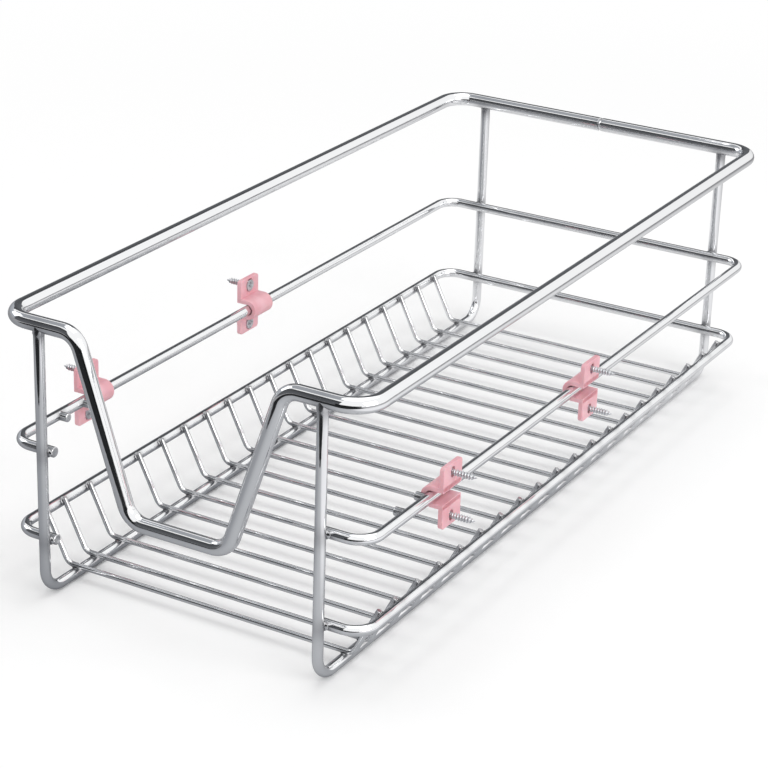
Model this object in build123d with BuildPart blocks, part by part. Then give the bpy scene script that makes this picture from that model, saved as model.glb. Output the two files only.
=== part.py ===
from build123d import *
import os
from math import asin, atan2, cos, hypot, sin

# A pull-out wire basket for a narrow kitchen cabinet.
# Frame: millimetres, +Z up, the handle faces -Y, origin on the floor under the middle of the basket.
# The chromed basket slides along Y in four plastic saddles, screwed to the two cabinet walls.

# ---- driving dimensions -------------------------------------------------------------------------
# wire diameters
RIM_WIRE = 8.0
FRAME_WIRE = 5.4          # side frames
RAIL_WIRE = 5.4           # middle and lower rail
CROSS_WIRE = 2.8          # floor wires
STUD_DIAMETER = 4.5

# rim, measured to the outside of its wire
BASKET_WIDTH = 208.0
BASKET_LENGTH = 454.0
BASKET_HEIGHT = 148.5
RIM_CORNER_RADIUS = 14.0  # bends are measured on the wire's centreline
BUTT_GROOVE_WIDTH = 1.6
BUTT_GROOVE_DEPTH = 0.9

# handle dip in the front of the rim
DIP_TOP_WIDTH = 115.5     # between the two shoulders, on the centreline
DIP_BOTTOM_WIDTH = 55.5
DIP_DEPTH = 89.8
DIP_SHOULDER_RADIUS = 11.0
DIP_BOTTOM_RADIUS = 12.0

# side frames
FRAME_SPACING = 157.2     # from centreline to centreline
FRAME_BEND_RADIUS = 12.0

# rails: centreline heights and widths
MIDDLE_RAIL_HEIGHT = 77.4
MIDDLE_RAIL_WIDTH = 201.0
LOWER_RAIL_HEIGHT = 30.2
LOWER_RAIL_WIDTH = 199.0
RAIL_CORNER_RADIUS = 11.0
RAIL_END_OVERHANG = 1.2   # how far a rail's end shows past the inner side of its post

# floor
CROSS_COUNT = 20
CROSS_FIRST = 23.5        # from the rim's front centreline to the first wire
CROSS_SECOND = 38.4       # and to the second one, where the even spacing starts
CROSS_LAST = 24.2         # from the rim's back centreline to the last one
CROSS_FLAT = 166.6        # between the two floor bends of one wire
CROSS_BEND_RADIUS = 5.0
CROSS_TIP = 1.6           # how far a wire runs on past its weld to the lower rail

# studs on the middle rail
STUD_LENGTH = 4.0         # beyond the rail's surface
STUD_FROM_FRONT = 40.0    # from the rim's front centreline to the first stud
STUD_SPACING = 19.5
STUD_EDGE = 0.5

# welded crossings sink this far into each other
WELD_BITE = 0.2

# cabinet and saddles
CABINET_WIDTH = 214.0     # clear width between the cabinet walls
RUNNING_GAP = 0.3         # between the middle rail and the saddle round it
STOP_GAP = 0.3            # between the rear stud and the front saddle, when the basket is home
SADDLE_LENGTH = 18.0      # along the rail
SADDLE_HEIGHT = 32.0
SADDLE_WALL = 2.6
FLANGE_THICKNESS = 2.4
SADDLE_CORNER = 2.0
SADDLE_EDGE = 0.5
SADDLE_PITCH = 150.0      # from front saddle to rear saddle
SLOT_SPACING = 22.6
SLOT_LENGTH = 5.6
SLOT_WIDTH = 4.0

# saddle screws
SCREW_LENGTH = 16.0       # with its head
SCREW_SHANK = 3.5         # over its thread
SCREW_NECK = 2.6          # bare stretch under the head
NECK_PAST_WALL = 0.2      # how far the neck reaches into the wall
SCREW_HEAD = 6.6
SCREW_HEAD_RIM = 0.5
SCREW_TIP = 3.0
SEAT_GAP = 0.05           # between the head's cone and the countersink
RECESS_WIDTH = 0.9
RECESS_LENGTH = 3.6
RECESS_DEPTH = 1.0

# ---- sizes that follow --------------------------------------------------------------------------
rim_r, frame_r, rail_r, cross_r = (d / 2 for d in (RIM_WIRE, FRAME_WIRE, RAIL_WIRE, CROSS_WIRE))
stud_r = STUD_DIAMETER / 2

rim_x = BASKET_WIDTH / 2 - rim_r
rim_y = BASKET_LENGTH / 2 - rim_r
rim_z = BASKET_HEIGHT - rim_r
dip_z = rim_z - DIP_DEPTH

frame_x = FRAME_SPACING / 2
post_y = BASKET_LENGTH / 2 - frame_r            # posts are flush with the rim's outer side
runner_z = frame_r
rail_y = post_y - frame_r - rail_r + WELD_BITE  # rails pass inside the posts
rail_end_x = frame_x - frame_r - RAIL_END_OVERHANG

cross_z = 2 * frame_r + cross_r - WELD_BITE
cross_bend_x = CROSS_FLAT / 2
cross_ys = [-rim_y + CROSS_FIRST]
cross_pitch = (2 * rim_y - CROSS_SECOND - CROSS_LAST) / (CROSS_COUNT - 2)
cross_ys += [-rim_y + CROSS_SECOND + i * cross_pitch for i in range(CROSS_COUNT - 1)]

stud_ys = [-rim_y + STUD_FROM_FRONT, -rim_y + STUD_FROM_FRONT + STUD_SPACING]
middle_x = MIDDLE_RAIL_WIDTH / 2

wall_x = CABINET_WIDTH / 2
front_saddle_y = stud_ys[1] + stud_r + STOP_GAP + SADDLE_LENGTH / 2
rear_saddle_y = front_saddle_y + SADDLE_PITCH
slide_travel = rail_y - RAIL_CORNER_RADIUS - (rear_saddle_y + SADDLE_LENGTH / 2)

print("slide travel %.2f mm, front saddle at y %.2f, rear saddle at y %.2f"
      % (slide_travel, front_saddle_y, rear_saddle_y))
print("rail y %.2f, first and last cross wire y %.2f %.2f" % (rail_y, cross_ys[0], cross_ys[-1]))

os.makedirs("parts", exist_ok=True)


def save(part, name):
    part.label = name
    export_step(part, f"parts/{name}.step")


# ---- rim: one closed loop of the thickest wire --------------------------------------------------
rim_corners = [
    (0, rim_y, rim_z),
    (rim_x, rim_y, rim_z),
    (rim_x, -rim_y, rim_z),
    (DIP_TOP_WIDTH / 2, -rim_y, rim_z),
    (DIP_BOTTOM_WIDTH / 2, -rim_y, dip_z),
    (0, -rim_y, dip_z),
]
rim_bends = [RIM_CORNER_RADIUS, RIM_CORNER_RADIUS, DIP_SHOULDER_RADIUS, DIP_BOTTOM_RADIUS]

with BuildPart() as rim:
    # the right half is swept from the back joint to the middle of the handle, then mirrored
    with BuildLine() as rim_path:
        rim_line = FilletPolyline(*rim_corners, radius=rim_bends)
    with BuildSketch(Plane(origin=rim_line @ 0, z_dir=rim_line % 0)):
        Circle(rim_r)
    sweep()
    mirror(about=Plane.YZ)
    # the two ends of the wire meet at the back in a butt weld, with a shallow groove round it
    with BuildSketch(Plane(origin=(0, rim_y, rim_z), x_dir=(1, 0, 0), z_dir=(0, 0, 1))):
        with BuildLine():
            Polyline(
                (0, rim_r - BUTT_GROOVE_DEPTH),
                (BUTT_GROOVE_WIDTH / 2, rim_r + BUTT_GROOVE_DEPTH / 2),
                (-BUTT_GROOVE_WIDTH / 2, rim_r + BUTT_GROOVE_DEPTH / 2),
                close=True,
            )
        make_face()
    revolve(axis=Axis((0, rim_y, rim_z), (1, 0, 0)), mode=Mode.SUBTRACT)
save(rim.part, "rim")


# ---- side frames: front post, runner and back post in one bent wire -----------------------------
def side_frame(x):
    post_top = rim_z - rim_r / 2
    corners = [
        (x, -post_y, post_top),
        (x, -post_y, runner_z),
        (x, post_y, runner_z),
        (x, post_y, post_top),
    ]
    with BuildPart() as frame:
        with BuildLine():
            line = FilletPolyline(*corners, radius=FRAME_BEND_RADIUS)
        with BuildSketch(Plane(origin=line @ 0, z_dir=line % 0)):
            Circle(frame_r)
        sweep()
        # the post ends are cut to the round underside of the rim, where they are welded
        for y in (-rim_y, rim_y):
            with BuildSketch(Plane.YZ.offset(x - 2 * RIM_WIRE)):
                with Locations((y, rim_z)):
                    Circle(rim_r)
            extrude(amount=4 * RIM_WIRE, mode=Mode.SUBTRACT)
    return frame.part


save(side_frame(-frame_x), "side_frame_left")
save(side_frame(frame_x), "side_frame_right")


# ---- rails: open loops that end behind the front posts ------------------------------------------
def rail(width, height):
    x = width / 2
    corners = [
        (-rail_end_x, -rail_y, height),
        (-x, -rail_y, height),
        (-x, rail_y, height),
        (x, rail_y, height),
        (x, -rail_y, height),
        (rail_end_x, -rail_y, height),
    ]
    with BuildPart() as loop:
        with BuildLine():
            line = FilletPolyline(*corners, radius=RAIL_CORNER_RADIUS)
        with BuildSketch(Plane(origin=line @ 0, z_dir=line % 0)):
            Circle(rail_r)
        sweep()
    return loop.part


save(rail(MIDDLE_RAIL_WIDTH, MIDDLE_RAIL_HEIGHT), "middle_rail")
save(rail(LOWER_RAIL_WIDTH, LOWER_RAIL_HEIGHT), "lower_rail")


# ---- floor: cross wires on the runners, turned up to the inner side of the lower rail ------------
# seen along Y, the upturned end is a straight line that touches the lower rail's inner side
to_rail = (LOWER_RAIL_WIDTH / 2 - cross_bend_x, LOWER_RAIL_HEIGHT - cross_z)
rail_distance = hypot(*to_rail)
touch = rail_r + cross_r - WELD_BITE
rise_angle = atan2(to_rail[1], to_rail[0]) + asin(touch / rail_distance)
rise_length = (rail_distance**2 - touch**2) ** 0.5 + CROSS_TIP
tip_x = cross_bend_x + rise_length * cos(rise_angle)
tip_z = cross_z + rise_length * sin(rise_angle)
print("cross wire tip at x %.2f z %.2f" % (tip_x, tip_z))


def cross_wire(y):
    corners = [
        (-tip_x, y, tip_z),
        (-cross_bend_x, y, cross_z),
        (cross_bend_x, y, cross_z),
        (tip_x, y, tip_z),
    ]
    with BuildPart() as wire:
        with BuildLine():
            line = FilletPolyline(*corners, radius=CROSS_BEND_RADIUS)
        with BuildSketch(Plane(origin=line @ 0, z_dir=line % 0)):
            Circle(cross_r)
        sweep()
    return wire.part


for number, y in enumerate(cross_ys, start=1):
    save(cross_wire(y), f"cross_wire_{number:02d}")


# ---- studs: short round stops welded to the inner side of the middle rail -----------------------
def stud(side, y):
    inner_x = middle_x - rail_r - STUD_LENGTH
    with BuildPart() as pin:
        with BuildSketch(Plane.YZ.offset(side * inner_x)):
            with Locations((y, MIDDLE_RAIL_HEIGHT)):
                Circle(stud_r)
        extrude(amount=side * (STUD_LENGTH + rail_r))
        fillet(pin.edges().filter_by(GeomType.CIRCLE).sort_by(Axis.X)[0 if side > 0 else -1], STUD_EDGE)
        # the outer end is hollowed to the round of the rail
        with BuildSketch(Plane.XZ.offset(-y - STUD_DIAMETER)):
            with Locations((side * middle_x, MIDDLE_RAIL_HEIGHT)):
                Circle(rail_r)
        extrude(amount=2 * STUD_DIAMETER, mode=Mode.SUBTRACT)
    return pin.part


for side, side_name in ((-1, "left"), (1, "right")):
    for y, place in zip(stud_ys, ("front", "rear")):
        save(stud(side, y), f"stop_stud_{place}_{side_name}")


# ---- saddles: plastic arches that hold the middle rail to the cabinet wall -----------------------
bore_r = rail_r + RUNNING_GAP
arch_r = bore_r + SADDLE_WALL
flange_x = wall_x - FLANGE_THICKNESS
countersink = (SCREW_HEAD - SLOT_WIDTH) / 2
slot_zs = (MIDDLE_RAIL_HEIGHT - SLOT_SPACING / 2, MIDDLE_RAIL_HEIGHT + SLOT_SPACING / 2)


def wall_side(side, x):
    """A plane square to the wall's normal that faces the wall: local x is Y, local y is side * Z."""
    return Plane(origin=(side * x, 0, 0), x_dir=(0, 1, 0), z_dir=(side, 0, 0))


def saddle(side, y):
    leg = wall_x - middle_x
    with BuildPart() as clip:
        # arch round the rail: a half round on straight legs down to the wall
        with BuildSketch(Plane.XZ.offset(-y - SADDLE_LENGTH / 2)):
            with Locations((side * middle_x, MIDDLE_RAIL_HEIGHT)):
                Circle(arch_r)
            with Locations((side * (middle_x + leg / 2), MIDDLE_RAIL_HEIGHT)):
                Rectangle(leg, 2 * arch_r)
        extrude(amount=SADDLE_LENGTH)
        fillet(clip.edges().filter_by(GeomType.CIRCLE), SADDLE_EDGE)
        # flange plate against the wall
        with BuildSketch(wall_side(side, flange_x)):
            with Locations((y, side * MIDDLE_RAIL_HEIGHT)):
                RectangleRounded(SADDLE_LENGTH, SADDLE_HEIGHT, SADDLE_CORNER)
        extrude(amount=FLANGE_THICKNESS)
        # channel for the rail, open to the wall
        with BuildSketch(Plane.XZ.offset(-y - SADDLE_LENGTH)):
            with Locations((side * middle_x, MIDDLE_RAIL_HEIGHT)):
                Circle(bore_r)
            with Locations((side * (middle_x + leg), MIDDLE_RAIL_HEIGHT)):
                Rectangle(2 * leg, 2 * bore_r)
        extrude(amount=2 * SADDLE_LENGTH, mode=Mode.SUBTRACT)
        # countersunk screw slots, upright
        slots = [(y, side * z) for z in slot_zs]
        with BuildSketch(wall_side(side, flange_x)):
            with Locations(*slots):
                SlotOverall(SLOT_LENGTH, SLOT_WIDTH, rotation=90)
        extrude(amount=FLANGE_THICKNESS, mode=Mode.SUBTRACT)
        with BuildSketch(wall_side(side, flange_x)):
            with Locations(*slots):
                SlotOverall(SLOT_LENGTH + 2 * countersink, SLOT_WIDTH + 2 * countersink, rotation=90)
        extrude(amount=countersink, taper=45, mode=Mode.SUBTRACT)
    return clip.part


for side, side_name in ((-1, "left"), (1, "right")):
    for y, place in ((front_saddle_y, "front"), (rear_saddle_y, "rear")):
        save(saddle(side, y), f"saddle_{place}_{side_name}")


# ---- screws: two for each saddle, through the slots and into the wall ----------------------------
head_top_x = flange_x - SCREW_HEAD_RIM - SEAT_GAP
neck_top = SCREW_HEAD_RIM + (SCREW_HEAD - SCREW_NECK) / 2
neck_end = wall_x + NECK_PAST_WALL - head_top_x
screw_profile = [
    (0, 0),
    (0, SCREW_HEAD / 2),
    (SCREW_HEAD_RIM, SCREW_HEAD / 2),
    (neck_top, SCREW_NECK / 2),
    (neck_end, SCREW_NECK / 2),
    (neck_end, SCREW_SHANK / 2),
    (SCREW_LENGTH - SCREW_TIP, SCREW_SHANK / 2),
    (SCREW_LENGTH, 0),
]

with BuildPart() as screws:
    for side in (-1, 1):
        for y in (front_saddle_y, rear_saddle_y):
            for z in slot_zs:
                # local x runs along the screw, from the top of its head into the wall
                top = (side * head_top_x, y, z)
                with BuildSketch(Plane(origin=top, x_dir=(side, 0, 0), z_dir=(0, 0, 1))):
                    with BuildLine():
                        Polyline(*screw_profile, close=True)
                    make_face()
                revolve(axis=Axis(top, (side, 0, 0)))
                # cross recess for the driver
                with BuildSketch(wall_side(side, head_top_x)):
                    with Locations((y, side * z)):
                        Rectangle(RECESS_LENGTH, RECESS_WIDTH)
                        Rectangle(RECESS_WIDTH, RECESS_LENGTH)
                extrude(amount=RECESS_DEPTH, mode=Mode.SUBTRACT)
save(screws.part, "saddle_screws")
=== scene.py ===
# %% [markdown]
# # A pull-out basket of chromed wire
# The object is a narrow kitchen basket: a thick rim wire with a dip that is the handle, two bent side
# frames, two rails, twenty floor wires, and four pink plastic saddles that it slides in.
# The packed model gives every piece its place, so this lesson starts by loading it and keeping its box.

# %% Load the packed model
from math import atan2, cos, hypot, pi, radians, sin

import bpy
import numpy as np
from mathutils import Matrix, Vector


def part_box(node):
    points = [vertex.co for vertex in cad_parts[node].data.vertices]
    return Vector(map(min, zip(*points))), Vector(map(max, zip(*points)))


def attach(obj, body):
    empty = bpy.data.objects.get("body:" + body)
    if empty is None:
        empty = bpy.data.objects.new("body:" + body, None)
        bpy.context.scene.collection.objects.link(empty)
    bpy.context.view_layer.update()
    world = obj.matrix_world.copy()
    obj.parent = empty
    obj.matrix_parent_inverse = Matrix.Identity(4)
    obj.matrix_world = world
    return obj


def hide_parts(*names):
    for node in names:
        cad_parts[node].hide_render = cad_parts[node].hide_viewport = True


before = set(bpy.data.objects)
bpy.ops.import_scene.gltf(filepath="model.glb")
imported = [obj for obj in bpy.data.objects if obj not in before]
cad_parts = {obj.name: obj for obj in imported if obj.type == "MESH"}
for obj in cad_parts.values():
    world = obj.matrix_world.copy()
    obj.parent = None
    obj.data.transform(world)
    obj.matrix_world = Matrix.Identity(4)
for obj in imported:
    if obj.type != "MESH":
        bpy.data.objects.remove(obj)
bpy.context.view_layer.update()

MM = 0.001
BASKET = "basket"
WALL = "wall_saddles"

# %% [markdown]
# ## Sizes
# The places come from the packed nodes. The wire diameters and bends are those of the packed wires: the
# rim is 8 mm, the frames and rails 5.4 mm and the floor wires 2.8 mm thick.

# %% Wire sizes, and places read from the packed nodes
RIM_R = 4.0 * MM
FRAME_R = 2.7 * MM
RAIL_R = 2.7 * MM
FLOOR_R = 1.4 * MM
STUD_R = 2.25 * MM
RIM_BEND = 14 * MM
SHOULDER_BEND = 11 * MM
DIP_BEND = 12 * MM
FRAME_BEND = 12 * MM
RAIL_BEND = 11 * MM
FLOOR_BEND = 5 * MM
DIP_TOP_X = 57.75 * MM
DIP_BOTTOM_X = 27.75 * MM
FLOOR_BEND_X = 83.3 * MM


def middle(node):
    """The middle of a packed node's box: half the sum of its lowest and highest corner."""
    low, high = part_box(node)
    return [(a + b) / 2 for a, b in zip(low, high)]


rim_low, rim_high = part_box("rim")
rim_x = rim_high.x - RIM_R
rim_y = rim_high.y - RIM_R
rim_z = rim_high.z - RIM_R
dip_z = rim_low.z + RIM_R
frame_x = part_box("side_frame_right")[1].x - FRAME_R
post_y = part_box("side_frame_right")[1].y - FRAME_R
print("rim centreline x %.4f y %.4f z %.4f, dip %.4f" % (rim_x, rim_y, rim_z, dip_z))

# %% [markdown]
# ## A path with round bends
# A bent wire is straight runs joined by arcs. Each corner of a polyline is cut back by
# radius / tan(half the corner's angle), and the arc between the two cuts turns round one centre.
# Points come every few millimetres, so that marks on the wire can fade along it.

# %% Path helpers
STEP = 3.0 * MM
ARC_STEPS = 14


def unit(vectors):
    """Each vector divided by its length."""
    vectors = np.asarray(vectors, float)
    return vectors / np.linalg.norm(vectors, axis=-1, keepdims=True)


def bent_path(corners, bend):
    """Points and tangents of a polyline whose corners are rounded to the bend's radius.

    On an arc, point(t) = centre + (sin((1-t)a) * from + sin(ta) * to) / sin(a), with a the turned angle.
    """
    corners = np.asarray(corners, float)
    bends = np.broadcast_to(bend, len(corners))
    stretches = [corners[:1]]
    for i in range(1, len(corners) - 1):
        before, here, after = corners[i - 1], corners[i], corners[i + 1]
        back, on = unit(before - here), unit(after - here)
        angle = np.arccos(np.clip(back @ on, -1, 1))
        cut = bends[i] / np.tan(angle / 2)
        centre = here + unit(back + on) * bends[i] / np.sin(angle / 2)
        start, end = here + back * cut - centre, here + on * cut - centre
        turn = pi - angle
        t = np.linspace(0, 1, ARC_STEPS)[:, None]
        stretches.append(centre + (np.sin((1 - t) * turn) * start + np.sin(t * turn) * end) / np.sin(turn))
    stretches.append(corners[-1:])
    filled = [stretches[0]]
    for last, stretch in zip(stretches, stretches[1:]):
        run = np.linalg.norm(stretch[0] - last[-1])
        stops = np.linspace(0, 1, max(2, int(run / STEP) + 1))[1:-1, None]
        filled += [last[-1] + stops * (stretch[0] - last[-1]), stretch]
    points = np.concatenate(filled)
    return points, unit(np.gradient(points, axis=0))


elbow, _ = bent_path([(-20 * MM, 0, 0), (0, 0, 0), (0, 20 * MM, 0)], 10 * MM)
elbow_length = np.linalg.norm(np.diff(elbow, axis=0), axis=1).sum()
print("a bend of 10 mm between two runs of 10 mm is %.2f mm long" % (elbow_length / MM))

# %% [markdown]
# ## A mesh from a grid of points
# Every surface here is a grid: rows run along it and columns run round it. Neighbouring points make quads,
# and an open end is closed by a pole in its middle. The faces must look outwards, or light and shadow
# come out wrong, so the volume inside is worked out and its sign says which way they look.
# A shell is kept as its vertices and a list of face arrays, so that shells can be joined by adding to
# whole arrays.

# %% A closed shell from a grid
def grid(points, closed_rows=False):
    """Vertices and faces of points[row, column]: a quad for each cell, and a fan at each open end.

    Six times the volume inside is the sum of a . (b x c) over the triangles. Where that is negative,
    the faces look inwards, and all are turned round.
    """
    rows, columns = points.shape[:2]
    index = np.arange(rows * columns).reshape(rows, columns)
    a = index if closed_rows else index[:-1]
    b = np.roll(index, -1, 0) if closed_rows else index[1:]
    quads = np.stack([a, np.roll(a, -1, 1), np.roll(b, -1, 1), b], -1).reshape(-1, 4)
    vertices = points.reshape(-1, 3)
    fans = np.empty((0, 3), int)
    if not closed_rows:
        first, last = index[0], index[-1]
        start, end = np.full_like(first, len(vertices)), np.full_like(last, len(vertices) + 1)
        vertices = np.concatenate([vertices, [points[0].mean(0), points[-1].mean(0)]])
        start_fan = np.stack([start, np.roll(first, -1), first], -1)
        fans = np.concatenate([start_fan, np.stack([end, last, np.roll(last, -1)], -1)])
    triangles = vertices[np.concatenate([quads[:, :3], quads[:, [0, 2, 3]], fans])]
    volume = (triangles[:, 0] * np.cross(triangles[:, 1], triangles[:, 2])).sum()
    turn = -1 if volume < 0 else 1
    return vertices, [quads[:, ::turn], fans[:, ::turn]]


def join(shells):
    """Several shells as one: the faces of each count on from the vertices before it."""
    vertices, faces, start = [], [], 0
    for points, blocks in shells:
        vertices.append(points)
        faces += [start + block for block in blocks]
        start += len(points)
    return np.concatenate(vertices), faces


trial = join([grid(np.zeros((3, 4, 3))), grid(np.zeros((2, 4, 3)))])
print("two small tubes joined:", len(trial[0]), "vertices,", sum(len(block) for block in trial[1]), "faces")

# %% A finished piece from a shell
SHARP = radians(40)


def piece(name, shell, material, body, nodes=()):
    """One smooth object, with sharp edges where its faces turn by more than the sharp angle."""
    vertices, blocks = shell
    mesh = bpy.data.meshes.new(name)
    mesh.from_pydata(np.asarray(vertices).tolist(), [], sum((block.tolist() for block in blocks), []))
    mesh.shade_smooth()
    mesh.set_sharp_from_angle(angle=SHARP)
    mesh.materials.append(material)
    made = bpy.data.objects.new(name, mesh)
    bpy.context.scene.collection.objects.link(made)
    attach(made, body)
    if nodes:
        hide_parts(*nodes)
    return made


print("bodies that pieces ride on:", BASKET, WALL)

# %% [markdown]
# ## Shader maths written as Python
# Math nodes are easier to read as an expression. The class below wraps one output socket: adding or
# multiplying it adds the node that does so. Every other node comes from one method.

# %% A socket that can be added and multiplied
class Socket:
    """An output of a node. Arithmetic on it adds Math nodes to its tree."""

    def __init__(self, shader, link):
        self.shader = shader
        self.link = link

    def math(self, operation, first, second=0.0):
        return self.shader.node("Math", {"operation": operation}, {0: first, 1: second})

    def __add__(self, other):
        return self.math("ADD", self, other)

    def __radd__(self, other):
        return self.math("ADD", other, self)

    def __sub__(self, other):
        return self.math("SUBTRACT", self, other)

    def __rsub__(self, other):
        return self.math("SUBTRACT", other, self)

    def __mul__(self, other):
        return self.math("MULTIPLY", self, other)

    def __rmul__(self, other):
        return self.math("MULTIPLY", other, self)

    def __pow__(self, other):
        return self.math("POWER", self, other)

    def largest(self, other):
        return self.math("MAXIMUM", self, other)

    def step(self, low, high):
        """0 below low, 1 above high and a smooth rise between."""
        return self.shader.node(
            "MapRange",
            {"interpolation_type": "SMOOTHSTEP"},
            {"Value": self, "From Min": low, "From Max": high},
        )


print("a socket can", [name.strip("_") for name in vars(Socket) if name.startswith("__r") or name == "step"])


# %% The node tree
class Shader:
    """The node tree of one material, or of the world."""

    def __init__(self, owner):
        owner.use_nodes = True
        self.tree = owner.node_tree
        self.tree.nodes.clear()

    def node(self, kind, settings=None, sockets=None, output=0):
        """Adds one node: its settings first, then its sockets' values or links."""
        made = self.tree.nodes.new("ShaderNode" + kind)
        for name, value in (settings or {}).items():
            setattr(made, name, value)
        for name, value in (sockets or {}).items():
            if isinstance(value, Socket):
                self.tree.links.new(value.link, made.inputs[name])
            else:
                made.inputs[name].default_value = value
        return Socket(self, made.outputs[output]) if made.outputs else None

    def noise(self, place, scale, detail):
        """Noise over a place: its scale is in cells a metre."""
        return self.node("TexNoise", None, {"Vector": place, "Scale": scale, "Detail": detail})

    def mix(self, mask, first, second):
        """The first colour where the mask is 0, and the second where it is 1."""
        sockets = {"Factor": mask, 6: first, 7: second}
        return self.node("Mix", {"data_type": "RGBA"}, sockets, output=2)

    def bump(self, height, strength, distance):
        """A normal bent by the slope of a height."""
        return self.node("Bump", None, {"Height": height, "Strength": strength, "Distance": distance})

    def surface(self, sockets):
        """A Principled surface, linked to the material's output."""
        bsdf = self.node("BsdfPrincipled", None, sockets)
        self.node("OutputMaterial", None, {"Surface": bsdf})


def finish(name):
    """A new material, its shader and its Object coordinates."""
    material = bpy.data.materials.new(name)
    shader = Shader(material)
    return material, shader, shader.node("TexCoord", output="Object")


def rgb(red, green, blue):
    """A colour with full alpha."""
    return (red, green, blue, 1)


print("a shader can", [name for name in vars(Shader) if not name.startswith("_")])

# %% [markdown]
# ## Bright chrome
# Chrome plate is a mirror with a slightly cool colour. Its colour is painted darker towards its outline:
# a painted reflection of the dark things that the edge of a real wire mirrors. Close up it isn't perfect:
# the polished wire under
# it leaves a faint waviness, handling leaves a light haze, and the heat of each weld leaves the plate a
# little rougher and greyer. That grey is also painted contact shade where the wires touch. The waviness is
# a shallow bump, and the weld haze and painted shade follow a value stored on the mesh, which is 1 at a weld
# and fades within a few millimetres.

# %% Chrome
CHROME_FACE = rgb(0.92, 0.925, 0.935)
# painted reflection: the darker colour painted towards the chrome's outline
CHROME_PAINTED_EDGE_REFLECTION = rgb(0.20, 0.21, 0.23)
# weld tarnish and painted contact shade: the darker colour painted at each weld
WELD_TARNISH_AND_PAINTED_SHADE = rgb(0.13, 0.13, 0.14)


def chrome_finish():
    """Roughness = 0.045 + 0.05 * haze + 0.22 * weld + 0.02 * grain; edge = facing ** 4."""
    material, shader, place = finish("bright_chrome")
    waves = shader.noise(place, 95.0, 2.0)
    haze = shader.noise(place, 38.0, 4.0)
    grain = shader.noise(place, 1400.0, 2.0)
    weld = shader.node("Attribute", {"attribute_name": "weld"}, output="Fac")
    smudge = haze.step(0.52, 0.74)
    rough = 0.045 + 0.05 * smudge + 0.22 * weld + 0.02 * grain
    edge = shader.node("LayerWeight", None, {"Blend": 0.5}, output="Facing") ** 4.0
    # painted reflection: the outline is painted darker for the dark things a real wire mirrors
    bright = shader.mix(edge, CHROME_FACE, CHROME_PAINTED_EDGE_REFLECTION)
    # weld tarnish and painted contact shade: the colour is painted darker near each weld
    shade = shader.mix(weld * 0.85, bright, WELD_TARNISH_AND_PAINTED_SHADE)
    bump = shader.bump(waves, 0.14, 0.0004)
    shader.surface({"Base Color": shade, "Metallic": 1.0, "Roughness": rough, "Normal": bump})
    return material


CHROME = chrome_finish()


def chromed(name, shell, nodes=()):
    """A chromed piece of the basket itself."""
    return piece(name, shell, CHROME, BASKET, nodes)


print("made", CHROME.name)

# %% [markdown]
# ## Pink moulded plastic
# The saddles are moulded in a soft pink, slightly see-through at thin edges and a little glossy. The
# mould leaves a fine texture, and the colour clouds a little where the plastic flowed.

# %% Pink plastic
def plastic_finish():
    """Two pinks mixed by soft clouds; roughness = 0.30 + 0.12 * texture."""
    material, shader, place = finish("pink_plastic")
    clouds = shader.noise(place, 90.0, 3.0)
    texture = shader.noise(place, 2600.0, 2.0)
    shader.surface({
        "Base Color": shader.mix(clouds.step(0.35, 0.7), rgb(0.83, 0.42, 0.47), rgb(0.90, 0.52, 0.57)),
        "Roughness": 0.30 + 0.12 * texture,
        "Subsurface Weight": 0.12,
        "Subsurface Scale": 0.0015,
        "Normal": shader.bump(texture, 0.25, 0.0001),
    })
    return material


PLASTIC = plastic_finish()
print("made", PLASTIC.name)

# %% [markdown]
# ## Zinc-plated steel
# The wood screws are zinc plated: a grey metal, satin rather than mirror-like, with a fine grain and
# cloudy patches of two greys.

# %% Steel
def steel_finish():
    """Two greys mixed by patches; roughness = 0.24 + 0.16 * grain."""
    material, shader, place = finish("zinc_steel")
    grain = shader.noise(place, 1900.0, 3.0)
    patches = shader.noise(place, 300.0, 2.0)
    shader.surface({
        "Base Color": shader.mix(patches.step(0.35, 0.65), rgb(0.55, 0.56, 0.58), rgb(0.68, 0.69, 0.71)),
        "Metallic": 1.0,
        "Roughness": 0.24 + 0.16 * grain,
        "Normal": shader.bump(grain, 0.2, 0.0001),
    })
    return material


STEEL = steel_finish()
print("made", STEEL.name)

# %% [markdown]
# ## A wire
# A wire is a circle carried along its path. The circle needs a direction to start from at every point:
# here it is the part of (point - inside) that is square to the path, where inside is a point that the
# path goes round. That never turns suddenly, so the mesh doesn't twist.

# %% Wire builder
def circle(sides):
    """Angles of a ring's columns, shaped to combine with rows of points."""
    return np.linspace(0, 2 * pi, sides, endpoint=False)[None, :, None]


def tube(points, tangents, radius, inside, sides):
    """Rings of points: point + radius * (cos a * out + sin a * (tangent x out))."""
    out = points - np.array(inside)
    out = unit(out - (out * tangents).sum(1, keepdims=True) * tangents)
    side = np.cross(tangents, out)
    a = circle(sides)
    radius = np.broadcast_to(radius, len(points))[:, None, None]
    return points[:, None] + radius * (np.cos(a) * out[:, None] + np.sin(a) * side[:, None])


def cut_end(points, tangents, radius, edge):
    """Adds two short rings at each end of a wire, so that its cut face has a small round edge."""
    start, end = points[:1], points[-1:]
    near_start, near_end = start + tangents[:1] * edge, end - tangents[-1:] * edge
    points = np.concatenate([start, near_start, points[1:-1], near_end, end])
    tangents = np.concatenate([tangents[:1], tangents[:1], tangents[1:-1], tangents[-1:], tangents[-1:]])
    radii = np.full(len(points), radius)
    radii[[0, -1]] = radius - edge
    return points, tangents, radii


print("a ring of 32 sides turns by %.2f degrees a side" % (360 / circle(32).size))

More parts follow.
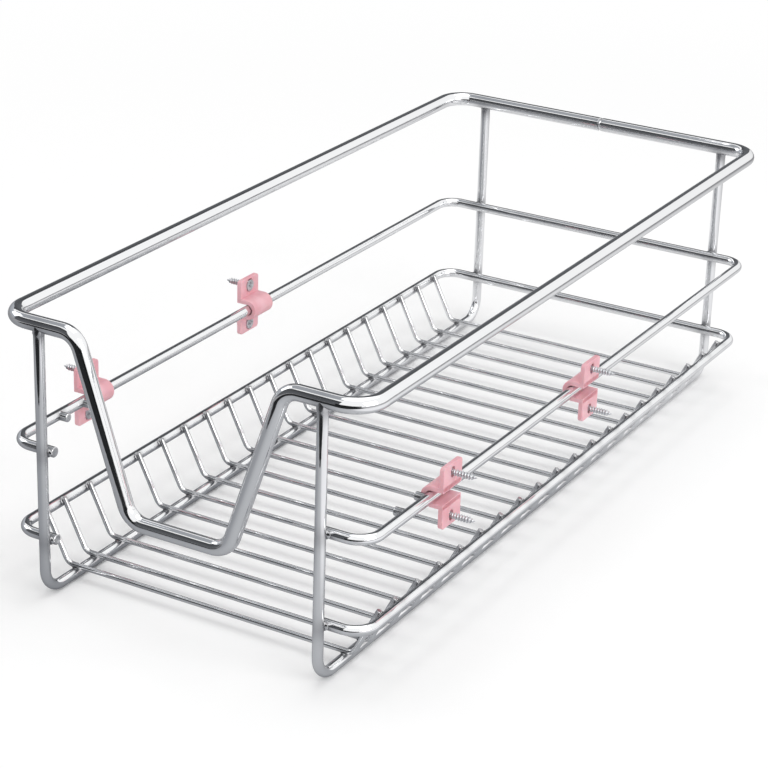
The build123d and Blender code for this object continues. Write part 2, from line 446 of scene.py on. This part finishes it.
# %% [markdown]
# ## The rim
# One closed loop of the thickest wire. Its two ends meet in the middle of the back in a butt weld that was
# never dressed flush: the left end keeps its square cut, the right end is rounded over, and there is a
# narrow notch between them. The notch is a change of radius along the path:
# radius = full radius - notch depth * (1 - sqrt(1 - (1 - s) ** 2)), where s runs from 0 to 1 over the
# rounded length of the right end.

# %% Rim path
NOTCH_DEPTH = 0.9 * MM
NOTCH_HALF = 0.35 * MM
ROUND_OVER = 2.6 * MM
RIM_INSIDE = (0, 0, 0.1)
RIM_SIDES = 44

rim_corners = [
    (0, rim_y, rim_z),
    (rim_x, rim_y, rim_z),
    (rim_x, -rim_y, rim_z),
    (DIP_TOP_X, -rim_y, rim_z),
    (DIP_BOTTOM_X, -rim_y, dip_z),
    (-DIP_BOTTOM_X, -rim_y, dip_z),
    (-DIP_TOP_X, -rim_y, rim_z),
    (-rim_x, -rim_y, rim_z),
    (-rim_x, rim_y, rim_z),
    (0, rim_y, rim_z),
]
half_bends = [RIM_BEND, RIM_BEND, SHOULDER_BEND, DIP_BEND]
rim_points, rim_tangents = bent_path(rim_corners, [0] + half_bends + half_bends[::-1] + [0])

# rows close to the butt weld, going right along X from it and coming back to it from the left
right_x = np.array([0.0, 0.35, 0.36, 0.6, 1.0, 1.5, 2.1, 2.8]) * MM
left_x = np.array([-1.6, -0.9, -0.5, -0.36, -0.35]) * MM
near_right = np.stack([right_x, np.full_like(right_x, rim_y), np.full_like(right_x, rim_z)], 1)
near_left = np.stack([left_x, np.full_like(left_x, rim_y), np.full_like(left_x, rim_z)], 1)
along_x = (1.0, 0.0, 0.0)
rim_tangents = np.concatenate([[along_x] * len(right_x), rim_tangents[1:-1], [along_x] * len(left_x)])
rim_points = np.concatenate([near_right, rim_points[1:-1], near_left])
print("rim path of", len(rim_points), "points")

# %% Rim
SLACK = 1e-6
from_weld = rim_points[:, 0]
at_back = np.abs(rim_points[:, 1] - rim_y) < SLACK
rounded_off = np.clip((from_weld - NOTCH_HALF) / ROUND_OVER, 0, 1)
swell = np.sqrt(1 - (1 - rounded_off) ** 2)
depth = np.where(from_weld < -NOTCH_HALF + SLACK, 0, 1)
depth = np.where(from_weld > NOTCH_HALF - SLACK, 1 - swell, depth)
rim_radius = RIM_R - np.where(at_back, NOTCH_DEPTH * depth, 0)
rim_rings = tube(rim_points, rim_tangents, rim_radius, RIM_INSIDE, RIM_SIDES)
rim = chromed("rim_wire", grid(rim_rings, closed_rows=True), ["rim"])
print("rim", len(rim.data.vertices), "vertices")

# %% [markdown]
# ## Side frames
# Each side frame is one wire: front post, runner on the floor, back post. The posts end under the rim in a
# small fillet weld, which is modelled as a flare: the radius grows by an exponential as the post comes
# up to the rim.

# %% Side frames
FLARE = 0.35 * MM
FLARE_REACH = 0.7 * MM
FLARE_ROWS = np.array([3.2, 2.6, 2.0, 1.4, 0.8, 0.0]) * MM
PLAIN_BELOW = 4 * MM
FRAME_INSIDE = (0, 0, 0.07)
WIRE_SIDES = 32


def side_frame(side, hand):
    """A U-shaped wire: radius = plain radius + flare * exp(-gap to the rim / reach)."""
    x = side * frame_x
    corners = [(x, -post_y, rim_z), (x, -post_y, FRAME_R), (x, post_y, FRAME_R), (x, post_y, rim_z)]
    points, tangents = bent_path(corners, FRAME_BEND)
    # extra rows close under the rim, where the flare bends fastest
    rows = rim_z - RIM_R - FLARE_ROWS
    front = np.stack([np.full_like(rows, x), np.full_like(rows, -post_y), rows[::-1]], 1)
    back = np.stack([np.full_like(rows, x), np.full_like(rows, post_y), rows], 1)
    inner = points[:, 2] < rim_z - RIM_R - PLAIN_BELOW
    points = np.concatenate([points[:1], front, points[inner], back, points[-1:]])
    down, up = [(0, 0, -1.0)] * (len(front) + 1), [(0, 0, 1.0)] * (len(back) + 1)
    tangents = np.concatenate([down, tangents[inner], up])
    gap = np.maximum(rim_z - RIM_R - points[:, 2], 0)
    radius = FRAME_R + FLARE * np.exp(-gap / FLARE_REACH)
    radius[[0, -1]] = FRAME_R
    rings = tube(points, tangents, radius, FRAME_INSIDE, WIRE_SIDES)
    rings[..., 1] = np.clip(rings[..., 1], -post_y - FRAME_R, post_y + FRAME_R)
    return chromed(hand + "_frame_wire", grid(rings), ["side_frame_" + hand])


frame_wires = [side_frame(-1, "left"), side_frame(1, "right")]
print("side frames", [len(made.data.vertices) for made in frame_wires])

# %% [markdown]
# ## Rails
# The middle and the lower rail are open loops. Their cut ends show just past the front posts, so they have
# a flat face with a small round edge.

# %% Rails
PAST_POST = 1.2 * MM
RAIL_EDGE = 0.35 * MM
WIRE_INSIDE_Z = 0.5


def rail(node):
    """An open loop of wire at one height, its ends just past the inner side of the front posts."""
    x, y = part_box(node)[1].x - RAIL_R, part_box(node)[1].y - RAIL_R
    z = middle(node)[2]
    end = frame_x - FRAME_R - PAST_POST
    corners = [(-end, -y, z), (-x, -y, z), (-x, y, z), (x, y, z), (x, -y, z), (end, -y, z)]
    points, tangents, radii = cut_end(*bent_path(corners, RAIL_BEND), RAIL_R, RAIL_EDGE)
    rings = tube(points, tangents, radii, (0, 0, WIRE_INSIDE_Z), WIRE_SIDES)
    return chromed(node + "_wire", grid(rings), [node])


middle_rail, lower_rail = rail("middle_rail"), rail("lower_rail")
middle_z, lower_z = middle("middle_rail")[2], middle("lower_rail")[2]
middle_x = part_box("middle_rail")[1].x - RAIL_R
lower_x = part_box("lower_rail")[1].x - RAIL_R
rail_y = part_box("middle_rail")[1].y - RAIL_R
print("rails at z %.4f and %.4f" % (middle_z, lower_z))

# %% [markdown]
# ## Floor wires
# Twenty thin wires lie across the two runners, and their ends turn up to the inner side of the lower rail.
# The upturned end is the line from the floor bend that touches the rail: its angle is the angle to the
# rail's middle plus asin(touch / distance).

# %% Floor wires
PRESSED_IN = 0.2 * MM
PAST_TOUCH = 1.6 * MM
FLOOR_EDGE = 0.3 * MM
FLOOR_SIDES = 20
NUMBERS = range(1, 21)


def floor_corners(node):
    """Corners of a floor wire: length to the touch = sqrt(distance ** 2 - touch ** 2)."""
    y = middle(node)[1]
    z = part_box(node)[0].z + FLOOR_R
    across, up = lower_x - FLOOR_BEND_X, lower_z - z
    distance = hypot(across, up)
    touch = RAIL_R + FLOOR_R - PRESSED_IN
    angle = atan2(up, across) + np.arcsin(touch / distance)
    length = (distance**2 - touch**2) ** 0.5 + PAST_TOUCH
    tip_x, tip_z = FLOOR_BEND_X + length * cos(angle), z + length * sin(angle)
    return [(-tip_x, y, tip_z), (-FLOOR_BEND_X, y, z), (FLOOR_BEND_X, y, z), (tip_x, y, tip_z)]


def floor_wire(number):
    """A thin wire across the runners, with both ends turned up."""
    node = "cross_wire_%02d" % number
    corners = floor_corners(node)
    points, tangents, radii = cut_end(*bent_path(corners, FLOOR_BEND), FLOOR_R, FLOOR_EDGE)
    rings = tube(points, tangents, radii, (0, corners[0][1], WIRE_INSIDE_Z), FLOOR_SIDES)
    return chromed("floor_wire_%02d" % number, grid(rings), [node])


floor_wires = [floor_wire(number) for number in NUMBERS]
print("floor wires", len(floor_wires), "of", len(floor_wires[0].data.vertices), "vertices")

# %% [markdown]
# ## Studs
# Four short pins stand on the inner side of the middle rail. Each is a profile turned about the stud's
# axis: a flat end with a round edge, the shank, and a small weld flare at the rail.

# %% Studs
STUD_EDGE = 0.5 * MM
STUD_FLARE = 0.25 * MM
STUD_FLARE_REACH = 0.4 * MM
STUD_SUNK = 1.2 * MM
STUD_ROOT = 1.7 * MM
STUD_SIDES = 28


def turned(profile, start, axis, out, sides):
    """A profile of (distance along the axis, radius) pairs, turned about the axis."""
    profile = np.asarray(profile, float)
    axis, out = np.asarray(axis, float), np.asarray(out, float)
    a = circle(sides)
    around = np.cos(a) * out + np.sin(a) * np.cross(axis, out)
    return np.asarray(start) + profile[:, 0, None, None] * axis + profile[:, 1, None, None] * around


def side_of(node):
    """1 for a node on the right, -1 for one on the left."""
    return 1.0 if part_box(node)[1].x > 0 else -1.0


def stud(node):
    """A turned pin: radius = plain radius + flare * exp((place - root) / reach)."""
    low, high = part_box(node)
    side = side_of(node)
    end_x = min(abs(low.x), abs(high.x))
    length = middle_x - RAIL_R - end_x
    t = np.linspace(0, pi / 2, 5)
    corner = np.stack([STUD_EDGE * (1 - np.cos(t)), STUD_R - STUD_EDGE + STUD_EDGE * np.sin(t)], 1)
    along = np.linspace(length * 0.4, length + STUD_SUNK, 9)
    flare = STUD_R + STUD_FLARE * np.exp((along - along[-1]) / STUD_FLARE_REACH)
    profile = np.concatenate([corner, np.stack([along, flare], 1), [(length + STUD_ROOT, STUD_R * 0.6)]])
    start = (side * end_x, middle(node)[1], middle_z)
    rings = turned(profile, start, (side, 0, 0), (0, 0, 1), STUD_SIDES)
    return chromed(node.replace("stop_stud", "stud"), grid(rings), [node])


stud_nodes = sorted(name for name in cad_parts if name.startswith("stop_stud"))
studs = [stud(node) for node in stud_nodes]
print("studs", [made.name for made in studs])

# %% [markdown]
# ## Welds
# Where two wires cross they are pressed together and spot welded, and a little metal is squeezed out round
# the spot. Each is a small flat dome: an ellipsoid whose widths lie along the two wires. They are many,
# so each has only a few dozen faces.

# %% Weld beads on the runners
RUNNER_DOME = (2.2 * MM, 2.0 * MM, 0.62 * MM)
TIP_DOME = (2.4 * MM, 1.9 * MM, 0.6 * MM)
POST_DOME = (4.2 * MM, 2.5 * MM, 1.2 * MM)
DOME_SUNK = 0.1 * MM
POLE_GAP = 0.12
DOME_ROWS, DOME_COLUMNS = 6, 12
SIDES = (-1, 1)


def dome(centre, directions, widths):
    """An ellipsoid: centre + sum of width * direction * (sin v cos u, sin v sin u, cos v)."""
    v = np.linspace(POLE_GAP, pi - POLE_GAP, DOME_ROWS)[:, None]
    u = np.linspace(0, 2 * pi, DOME_COLUMNS, endpoint=False)[None, :]
    ball = np.stack([np.sin(v) * np.cos(u), np.sin(v) * np.sin(u), np.cos(v) + 0 * u], -1)
    return grid(np.asarray(centre) + (ball * np.asarray(widths)) @ np.asarray(directions, float))


floor_y = [middle("cross_wire_%02d" % number)[1] for number in NUMBERS]
runner_spots = [(side * frame_x, y, 2 * FRAME_R - DOME_SUNK) for side in SIDES for y in floor_y]
runner_welds = [dome(spot, ((1, 0, 0), (0, 1, 0), (0, 0, 1)), RUNNER_DOME) for spot in runner_spots]
print("runner beads", len(runner_welds))

# %% Weld beads on the rails
_, _, bend, tip = np.array(floor_corners("cross_wire_01"))
rise = unit(tip - bend)
to_rail = np.array((lower_x, tip[1], lower_z)) - bend
touch_point = bend + rise * (to_rail @ rise)
inward = unit(bend + to_rail - touch_point)
contact = touch_point + inward * (FLOOR_R - DOME_SUNK)


def tip_weld(side, y):
    """The dome where a floor wire's end touches the lower rail."""
    mirrored = np.array((side, 1, 1))
    centre = np.array((contact[0], y, contact[2])) * mirrored
    directions = (rise * mirrored, (0, side, 0), inward * mirrored)
    return centre, dome(centre, directions, TIP_DOME)


tip_spots, tip_welds = zip(*[tip_weld(side, y) for side in SIDES for y in floor_y])
beads = chromed("floor_welds", join(runner_welds + list(tip_welds)))

post_weld_y = rail_y + RAIL_R - DOME_SUNK
post_spots = [
    (side * frame_x, end * post_weld_y, z) for side in SIDES for end in SIDES for z in (middle_z, lower_z)
]
post_welds = [dome(spot, ((1, 0, 0), (0, 0, 1), (0, 1, 0)), POST_DOME) for spot in post_spots]
rail_beads = chromed("rail_welds", join(post_welds))
print("weld beads", len(runner_welds), len(tip_welds), len(post_welds))

# %% [markdown]
# ## Weld haze and painted shade
# The heat of a weld dulls the plate round it, and there the chrome's colour is painted darker as well:
# partly weld tarnish and partly painted contact shade where the wires touch. Every chromed piece stores a
# value on its
# vertices that the chrome reads: exp(-(distance to the nearest weld / reach) ** 2). The larger welds reach
# further.
# chrome reads: exp(-(distance to the nearest weld / reach) ** 2). The larger welds reach further.

# %% Weld haze and painted shade on the wires
WELD_REACH = 3.2 * MM
WIDE_REACH = 5.2 * MM


def mark_welds(made, welds, wide_welds=()):
    """Stores exp(-(distance / reach) ** 2) of the weld that counts most, from 0 to 1."""
    mesh = made.data
    places = np.empty(len(mesh.vertices) * 3, np.float32)
    mesh.vertices.foreach_get("co", places)
    places = places.reshape(-1, 3)
    value = np.zeros(len(places), np.float32)
    reaches = [WELD_REACH] * len(welds) + [WIDE_REACH] * len(wide_welds)
    for weld, reach in zip(list(welds) + list(wide_welds), reaches):
        value = np.maximum(value, np.exp(-(((places - np.array(weld)) ** 2).sum(1)) / reach**2))
    stored = mesh.attributes.new("weld", "FLOAT", "POINT")
    stored.data.foreach_set("value", value.astype(np.float32))


# the rim's welds over the post tops reach furthest: weld tarnish and painted shade under the rim
rim_spots = [(side * frame_x, end * rim_y, rim_z - RIM_R) for side in SIDES for end in SIDES]
butt_spot = (0, rim_y, rim_z)
stud_y = [middle(node)[1] for node in stud_nodes]
stud_spots = [(side * (middle_x - RAIL_R), y, middle_z) for y in stud_y for side in SIDES]
floor_spots = runner_spots + list(tip_spots)
marks = [(rim, [butt_spot], rim_spots), (rail_beads, post_spots, [])]
marks += [(made, runner_spots, rim_spots + post_spots) for made in frame_wires]
marks += [(middle_rail, stud_spots, post_spots), (lower_rail, tip_spots, post_spots)]
marks += [(made, floor_spots, []) for made in floor_wires + [beads]]
marks += [(made, stud_spots, []) for made in studs]
for mark in marks:
    mark_welds(*mark)
print("haze on", len(marks), "pieces")

# %% [markdown]
# ## Saddles
# Each saddle is a moulded arch with two flanges, and the rail runs through the arch. The arch is a bar of
# rounded rectangular section carried round a U. Each flange is a plate with a slot: a closed section
# runs up the slot's wall, over the countersink, across the front, round the edge and back along the
# wall, while its outline changes from the slot's to the plate's.

# %% Saddle sizes
ARCH_WALL = 2.6 * MM
ARCH_GAP = 0.3 * MM
FLANGE = 2.4 * MM
FLANGE_START = 0.4 * MM
SLOT_SPACING = 22.6 * MM
SLOT_HALF_WIDTH = 2.0 * MM
SLOT_HALF_HEIGHT = 2.8 * MM
COUNTERSINK = 1.3 * MM
PLATE_CORNER = 2.0 * MM
ROUND_EDGE = 0.5 * MM

saddle_nodes = sorted(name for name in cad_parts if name.startswith("saddle_") and "screws" not in name)
saddle_low, saddle_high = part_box("saddle_front_right")
wall_x = saddle_high.x
half_length = (saddle_high.y - saddle_low.y) / 2
half_height = (saddle_high.z - saddle_low.z) / 2
print(saddle_nodes, "wall at x %.4f" % wall_x)


# %% The arch
def rounded(half_width, half_tall, radius, centre=0.0, steps=8):
    """Outline of a rectangle with round corners: corner centres plus radius * (cos a, sin a)."""
    a = np.linspace(0, pi / 2, steps)[None, :] + (np.arange(4) * pi / 2)[:, None]
    signs = np.array([(1, 1), (-1, 1), (-1, -1), (1, -1)])
    middles = signs * (half_width - radius, half_tall - radius)
    around = middles[:, None] + radius * np.stack([np.cos(a), np.sin(a)], -1)
    return around.reshape(-1, 2) + (0, centre)


def arch(side, y):
    """Points: path + n * (normal of the path) + (0, v, 0), where (n, v) goes round the bar's section."""
    reach = wall_x - middle_x
    radius = RAIL_R + ARCH_GAP + ARCH_WALL / 2
    t = np.linspace(pi / 2, 3 * pi / 2, 25)
    leg = np.linspace(reach, 0, 6)[:-1]
    u = np.concatenate([leg, radius * np.cos(t), leg[::-1]])
    w = np.concatenate([np.full_like(leg, radius), radius * np.sin(t), np.full_like(leg, -radius)])
    normal_u = np.concatenate([leg * 0, np.cos(t), leg * 0])
    normal_w = np.concatenate([leg * 0 + 1, np.sin(t), leg * 0 - 1])
    bar = rounded(ARCH_WALL / 2, half_length, ROUND_EDGE, steps=5)
    across = bar[None, :, 0]
    x = middle_x + u[:, None] + across * normal_u[:, None]
    z = middle_z + w[:, None] + across * normal_w[:, None]
    return grid(np.stack([side * x, y + bar[None, :, 1] + 0 * x, z], -1))


print("an arch has", len(arch(1, 0)[0]), "vertices")


# %% The flanges and the whole saddle
def flange(side, y, up):
    """A slotted plate: depth d from the wall, and an outline between the slot's and the plate's."""
    inner_z = RAIL_R + ARCH_GAP + FLANGE_START
    centre = (half_height + inner_z) / 2
    tall = (half_height - inner_z) / 2
    slot_z = SLOT_SPACING / 2
    sunk_width, sunk_height = SLOT_HALF_WIDTH + COUNTERSINK, SLOT_HALF_HEIGHT + COUNTERSINK
    slot = rounded(SLOT_HALF_WIDTH, SLOT_HALF_HEIGHT, SLOT_HALF_WIDTH, slot_z)
    sunk = rounded(sunk_width, sunk_height, sunk_width, slot_z)
    plate = rounded(half_length, tall, PLATE_CORNER, centre)
    inset = rounded(half_length - ROUND_EDGE, tall - ROUND_EDGE, PLATE_CORNER - ROUND_EDGE, centre)
    t = np.linspace(0, pi / 2, 6)
    edge = [inset + np.sin(v) * (plate - inset) for v in t]
    section = np.stack([slot, slot, sunk, sunk + 0.15 * (inset - sunk)] + edge + [plate])
    depths = [0, FLANGE - COUNTERSINK, FLANGE, FLANGE] + list(FLANGE - ROUND_EDGE * (1 - np.cos(t))) + [0]
    depth = np.asarray(depths)[:, None] + 0 * section[..., 0]
    x, z = side * (wall_x - depth), middle_z + up * section[..., 1]
    return grid(np.stack([x, y + section[..., 0], z], -1), closed_rows=True)


def saddle(node):
    """An arch and the two flanges that hold it on the wall."""
    side, y = side_of(node), middle(node)[1]
    shell = join([arch(side, y), flange(side, y, 1), flange(side, y, -1)])
    return piece(node.replace("saddle_", "saddle_clip_"), shell, PLASTIC, WALL, [node])


saddles = [saddle(node) for node in saddle_nodes]
print("saddles", len(saddles), "of", len(saddles[0].data.vertices), "vertices")

# %% [markdown]
# ## Wood screws
# A countersunk screw is a profile turned about its axis, with two things added: a cross recess pressed
# into the head, and a thread. The thread's radius depends on the angle too: the ridge is where
# distance / pitch - angle / (2 pi) is near a whole number and a half.

# %% Screw sizes
SCREW_LENGTH = 16.0 * MM
HEAD_R = 3.3 * MM
HEAD_EDGE = 0.06 * MM
NECK_R = 1.3 * MM
CORE_R = 1.2 * MM
CREST_R = 1.75 * MM
PITCH = 1.5 * MM
RIDGE_HALF = 0.28
THREAD_START = 3.2 * MM
RUN_IN = 1.2 * MM
POINT_LENGTH = 3.0 * MM
RECESS_HALF_WIDTH = 0.45 * MM
RECESS_HALF_LENGTH = 1.8 * MM
RECESS_DEPTH = 1.0 * MM
SCREW_SIDES = 48

screw_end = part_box("saddle_screws")[1].x
print("screw tips at x %.4f" % screw_end)


# %% Screws
def screw(side, y, z):
    """Distance s along the axis and radius r for each row and angle."""
    a = circle(SCREW_SIDES)[..., 0]
    flat = np.linspace(0.05, 0.93, 24)[:, None] * HEAD_R
    across, upright = np.abs(flat * np.cos(a)), np.abs(flat * np.sin(a))
    narrow, long = np.minimum(across, upright), np.maximum(across, upright)
    inside = np.clip((RECESS_HALF_WIDTH - narrow) / (0.25 * MM) + 0.5, 0, 1)
    inside = inside * np.clip((RECESS_HALF_LENGTH - long) / (0.5 * MM) + 0.5, 0, 1)
    head_s, head_r = RECESS_DEPTH * inside, flat + 0 * a
    cone_s = np.array([0.06, 0.2, 0.5, 1.5, 2.5, 3.1]) * MM
    cone_r = np.array([HEAD_R - HEAD_EDGE, HEAD_R, HEAD_R, HEAD_R - 1.0 * MM, NECK_R, NECK_R])
    s = np.linspace(THREAD_START, SCREW_LENGTH, 120)
    taper = np.clip((SCREW_LENGTH - s) / POINT_LENGTH, 0.04, 1)
    start = np.clip((s - THREAD_START) / RUN_IN, 0, 1)
    phase = (s[:, None] / PITCH - a / (2 * pi)) % 1.0
    ridge = np.clip(1 - np.abs(phase - 0.5) / RIDGE_HALF, 0, 1)
    height = ((CREST_R - CORE_R) * start)[:, None] * ridge
    thread_r = taper[:, None] * (CORE_R + height)
    distance = np.concatenate([head_s, cone_s[:, None] + 0 * a, s[:, None] + 0 * a])
    radius = np.concatenate([head_r, cone_r[:, None] + 0 * a, thread_r])
    axis, out = np.array((side, 0, 0)), np.array((0, 0, 1.0))
    around = np.cos(a)[..., None] * out + np.sin(a)[..., None] * np.cross(axis, out)
    head_x = side * (screw_end - SCREW_LENGTH)
    return grid(np.array((head_x, y, z)) + distance[..., None] * axis + radius[..., None] * around)


screw_shells = [
    screw(side_of(node), middle(node)[1], middle_z + up * SLOT_SPACING / 2)
    for node in saddle_nodes for up in SIDES
]
screws = piece("wood_screws", join(screw_shells), STEEL, WALL, ["saddle_screws"])
print("screws", len(screw_shells), "with", len(screws.data.vertices), "vertices")

# %% [markdown]
# ## Floor and cards
# The floor is a plain pale sheet. The camera sees it white. Near the basket it is still a lit surface, so
# it keeps the shadow, and further off it fades into the white of the room.
# Chrome shows what stands round it. In an all-white room it would nearly vanish, so a photographer puts
# grey and dark cards out of the picture. The cards here are glowing grey sheets seen in reflections only,
# painted reflections of a darker room. In reflections the floor is painted grey too, as painted shade:
# darkest in front on the left, pale on the right and under the back half, where the right soft box lights
# it.

# %% A sheet, and the floor's finish
WHITE = rgb(1.0, 1.0, 1.0)


def sheet(name, corners, material):
    """One flat face with the given corners."""
    mesh = bpy.data.meshes.new(name)
    mesh.from_pydata(corners, [], [tuple(range(len(corners)))])
    mesh.materials.append(material)
    made = bpy.data.objects.new(name, mesh)
    bpy.context.scene.collection.objects.link(made)
    return made


def floor_finish():
    """White to the camera, greys painted in as shade in reflections, and pale to scattered light."""
    material, shader, place = finish("pale_floor")
    mottle = shader.noise(place, 6.0, 3.0)
    pale = shader.mix(mottle, rgb(0.86, 0.86, 0.86), rgb(0.88, 0.88, 0.88))
    looked_at = shader.node("LightPath", output="Is Camera Ray")
    looked_at = looked_at.largest(shader.node("LightPath", output="Is Transmission Ray"))
    across = shader.node("SeparateXYZ", None, {"Vector": place}, output=0)
    along = shader.node("SeparateXYZ", None, {"Vector": place}, output=1)
    # painted shade, seen in reflections only: dark grey in front on the left, pale where the right lamp
    # lights it
    front = shader.mix(across.step(-0.15, 0.12), rgb(0.30, 0.31, 0.33), rgb(0.48, 0.49, 0.51))
    front = shader.mix(across.step(0.13, 0.24), front, rgb(0.86, 0.86, 0.88))
    painted_near_shade = shader.mix(along.step(0.0, 0.22), front, rgb(0.82, 0.82, 0.83))
    distance = (across * across + along * along) ** 0.5
    # painted shade, seen in reflections only: further off the floor is painted darker grey
    mirrored = shader.mix(distance.step(0.30, 1.0), painted_near_shade, rgb(0.34, 0.34, 0.35))
    in_mirror = shader.node("LightPath", output="Is Glossy Ray")
    shade = shader.mix(looked_at, shader.mix(in_mirror, pale, mirrored), WHITE)
    lit = shader.node("BsdfDiffuse", None, {"Color": shade})
    white = shader.node("Emission", None, {"Color": WHITE, "Strength": 1.0})
    far = looked_at * distance.step(0.40, 1.10)
    surface = shader.node("MixShader", None, {0: far, 1: lit, 2: white})
    shader.node("OutputMaterial", None, {"Surface": surface})
    return material


FLOOR_Z = -0.3 * MM
WIDE = 6.0
floor_edge = [(-WIDE, -WIDE), (WIDE, -WIDE), (WIDE, WIDE), (-WIDE, WIDE)]
floor = sheet("floor", [(x, y, FLOOR_Z) for x, y in floor_edge], floor_finish())
print("floor of", 2 * WIDE, "m")


# %% Cards
LOWEST_TOP = 0.1


def cool(grey):
    """A grey of the given brightness, slightly blue."""
    return rgb(grey * 0.96, grey, grey * 1.07)


def card_finish(name, low, high, top):
    """A glowing card, a painted reflection: one grey at the floor and another at its top."""
    material, shader, place = finish(name)
    height = shader.node("SeparateXYZ", None, {"Vector": place}, output=2)
    shade = shader.mix(height.step(0.0, top), cool(low), cool(high))
    glow = shader.node("Emission", None, {"Color": shade, "Strength": 1.0})
    shader.node("OutputMaterial", None, {"Surface": glow})
    return material


def card(name, corners, low, high):
    """A glowing grey sheet, a painted reflection, that is seen by reflections only."""
    top = max(LOWEST_TOP, max(z for _, _, z in corners))
    made = sheet(name, corners, card_finish(name + "_card", low, high, top))
    made.visible_camera = False
    made.visible_diffuse = False
    made.visible_transmission = False
    made.visible_shadow = False
    return made


def wall(name, start, end, top, low, high):
    """An upright card from one point on the floor to another."""
    (x0, y0), (x1, y1) = start, end
    return card(name, [(x0, y0, 0), (x1, y1, 0), (x1, y1, top), (x0, y0, top)], low, high)


# painted reflections: glowing grey and dark sheets that stand in for the dark things chrome mirrors
cards = [
    wall("front", (-0.85, -2.4), (2.6, -2.4), 0.6, 0.01, 0.02),
    wall("front_left", (-0.5, -2.6), (-3.6, -1.4), 2.7, 0.11, 0.05),
    wall("left", (-3.2, -1.4), (-3.2, 2.6), 1.8, 0.40, 0.50),
    wall("back_left", (-0.45, 2.6), (-5.0, 2.6), 2.9, 0.17, 0.07),
    card("front_floor", [(-0.8, -2.4, 0), (1.6, -2.4, 0), (0.6, -0.47, 0), (-0.47, -0.46, 0)], 0.02, 0.02),
    card("ceiling", [(-4.0, -1.5, 3.0), (-0.6, -1.5, 3.0), (-0.6, 1.5, 3.0), (-4.0, 1.5, 3.0)], 0.36, 0.36),
]
print("cards", [made.name for made in cards])

# %% [markdown]
# ## Light
# Three soft boxes and an even white room. The box on the right is the brightest, as in the photograph.
# The power of a soft box comes from the brightness it should have: power = brightness * pi * area.

# %% Lamps
AIMED_AT = (0, 0, 0.07)


def soft_box(name, place, size, brightness):
    """A rectangular lamp turned to the basket: power = brightness * pi * area."""
    lamp = bpy.data.lights.new(name, "AREA")
    lamp.shape = "RECTANGLE"
    lamp.size, lamp.size_y = size
    lamp.energy = brightness * pi * size[0] * size[1]
    made = bpy.data.objects.new(name, lamp)
    bpy.context.scene.collection.objects.link(made)
    made.rotation_euler = (Vector(place) - Vector(AIMED_AT)).to_track_quat("Z", "Y").to_euler()
    made.location = place
    return made


lamps = [
    soft_box("right_soft_box", (1.9, -0.5, 1.1), (1.3, 1.5), 2.2),
    soft_box("left_soft_box", (-1.9, -0.3, 1.3), (1.0, 1.2), 1.3),
    soft_box("top_soft_box", (0.0, 0.3, 2.2), (1.4, 1.8), 1.3),
]
print("lamps", [round(lamp.data.energy, 1) for lamp in lamps])

# %% World
world = bpy.data.worlds.new("white_room")
bpy.context.scene.world = world
room = Shader(world)
seen = room.node("LightPath", output="Is Camera Ray")
seen = seen.largest(room.node("LightPath", output="Is Glossy Ray"))
seen = seen.largest(room.node("LightPath", output="Is Transmission Ray"))
room_shade = room.mix(seen, rgb(0.70, 0.70, 0.70), WHITE)
room_light = room.node("Background", None, {"Color": room_shade, "Strength": 1.0})
room.node("OutputWorld", None, {"Surface": room_light})
print("world", world.name)

# %% [markdown]
# ## Camera
# The camera stands in front of the basket, to its right and above it, and looks along the direction that
# its turn, tilt and roll give. Its three axes are worked out from those angles.

# %% Camera
TURN, TILT, ROLL = 0.5149, -0.406, 0.0324
PLACE = (0.58536, -1.06583, 0.57547)
LENS = 113.87

look = np.array((-sin(TURN) * cos(TILT), cos(TURN) * cos(TILT), sin(TILT)))
level = np.array((cos(TURN), sin(TURN), 0.0))
over = np.cross(level, look)
camera_x = cos(ROLL) * level + sin(ROLL) * over
camera_y = -sin(ROLL) * level + cos(ROLL) * over

camera = bpy.data.cameras.new("camera")
camera.lens = LENS
camera.sensor_width = 36.0
camera.clip_start = 0.05
camera_object = bpy.data.objects.new("camera", camera)
bpy.context.scene.collection.objects.link(camera_object)
axes = Matrix((camera_x.tolist(), camera_y.tolist(), (-look).tolist())).transposed().to_4x4()
axes.translation = PLACE
camera_object.matrix_world = axes
bpy.context.scene.camera = camera_object
bpy.context.scene.view_settings.view_transform = "Standard"
print("camera at", PLACE)
